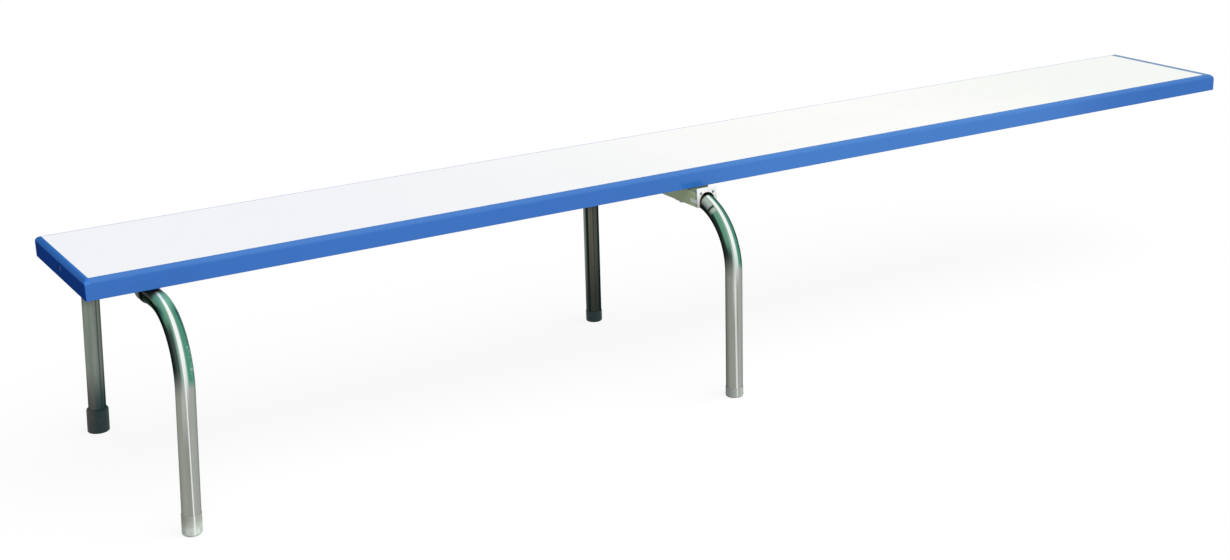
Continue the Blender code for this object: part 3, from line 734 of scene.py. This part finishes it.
# The dark vinyl is browner to the rear, where grit has rubbed it, and blue black to the front.
dark_vinyl, shader, place = finish("dark vinyl", Specular_IOR_Level=0.4)
upright = place.node("ShaderNodeAttribute", {"attribute_name": "upright"}, output="Vector")
mottle = place.noise(70, 5, 0.65)
scrapes = place.stretch(1, 1, 0.2).noise(220, 4, 0.65)
dark = mottle.step(0.35, 0.75).blend(srgb(20, 42, 44), srgb(36, 58, 60))
rear_foot = 1 - at_front(place)
gritty = upright.axis("Y").step(-0.010, -0.019)
gritty = gritty * (0.3 + 0.7 * upright.axis("Z").step(0.010, 0.055))
dark = (gritty * rear_foot).blend(dark, srgb(68, 67, 65))
dark = (scrapes.step(0.62, 0.76) * 0.4).blend(dark, srgb(80, 88, 84))
vary(
    shader,
    Base_Color=dark,
    Roughness=0.50 + 0.25 * mottle,
    Normal=(mottle * 0.5 + scrapes * 0.5).bump(0.0003, 0.5),
)

boot = turn_foot(
    "boot_rear_left", "rear_left_boot", rear_feet_x, 1, rear_rake,
    outer=0.027, height=0.060, sole_radius=0.00225, rim_radius=0.0045,
)
boot.data.materials.append(dark_vinyl)
slim = tube_radius + 0.0011
cap = turn_foot(
    "cap_rear_right", "rear_right_cap", rear_feet_x, -1, rear_rake,
    outer=slim, height=0.050, sole_radius=0.008, rim_radius=0.0005,
)
cap.data.materials.append(pale_vinyl)
cap = turn_foot(
    "cap_front_left", "front_left_cap", front_x, 1, 0,
    outer=slim, height=0.032, sole_radius=0.004, rim_radius=0.0005,
)
cap.data.materials.append(dark_vinyl)
cap = turn_foot(
    "cap_front_right", "front_right_cap", front_x, -1, 0,
    outer=slim, height=0.026, sole_radius=0.004, rim_radius=0.0005,
)
cap.data.materials.append(pale_vinyl)


# Studio. A plain pale floor, white to the camera and in reflections, that keeps a soft shadow, one
# broad soft lamp from the front right that the metal doesn't mirror, and an even light all round.
def seen_directly(tree):
    """A mask that is 1 for what the camera sees, straight or in metal or glass."""
    straight, mirrored, through = (
        Wire(tree).node("ShaderNodeLightPath", output=f"Is {kind} Ray")
        for kind in ("Camera", "Glossy", "Transmission")
    )
    return straight.either(mirrored).either(through)


floor_reach = 30
floor_drop = 0.0002
floor_shape = bmesh.new()
bmesh.ops.create_grid(floor_shape, x_segments=1, y_segments=1, size=floor_reach)
bmesh.ops.translate(floor_shape, verts=floor_shape.verts, vec=(0, 0, -floor_drop))
floor_mesh = bpy.data.meshes.new("floor")
floor_shape.to_mesh(floor_mesh)
floor_shape.free()
floor = bpy.data.objects.new("floor", floor_mesh)
bpy.context.scene.collection.objects.link(floor)
pale_floor = bpy.data.materials.new("pale floor")
pale_floor.use_nodes = True
tree = pale_floor.node_tree
tree.nodes.clear()
seen = seen_directly(tree)
paint = seen.blend((0.45, 0.45, 0.45), (1, 1, 1))
ground = Wire(tree).node("ShaderNodeBsdfDiffuse", {}, {"Color": paint})
glow = Wire(tree).node("ShaderNodeEmission", {}, {"Color": (1, 1, 1), "Strength": 1.0})
both = ground.node("ShaderNodeMixShader", {}, {0: seen * 0.88, 1: ground, 2: glow})
both.node("ShaderNodeOutputMaterial", {}, {"Surface": both})
floor_mesh.materials.append(pale_floor)

world = bpy.data.worlds.new("studio")
bpy.context.scene.world = world
world.use_nodes = True
tree = world.node_tree
tree.nodes.clear()
around = Wire(tree).node("ShaderNodeBackground", {}, {"Color": (1, 1, 1), "Strength": 0.32})
backdrop = Wire(tree).node("ShaderNodeBackground", {}, {"Color": (1, 1, 1), "Strength": 1.0})
both = around.node("ShaderNodeMixShader", {}, {0: seen_directly(tree), 1: around, 2: backdrop})
both.node("ShaderNodeOutputWorld", {}, {"Surface": both})

lamp_side = Vector((0.30, -0.58, 0.76))
lamp_data = bpy.data.lights.new("soft lamp", "SUN")
lamp_data.energy = 3.1
lamp_data.angle = radians(75)
lamp = bpy.data.objects.new("soft lamp", lamp_data)
lamp.rotation_mode = "QUATERNION"
lamp.rotation_quaternion = lamp_side.to_track_quat("Z", "Y")
lamp.visible_glossy = False
bpy.context.scene.collection.objects.link(lamp)

bpy.context.scene.view_settings.view_transform = "Standard"
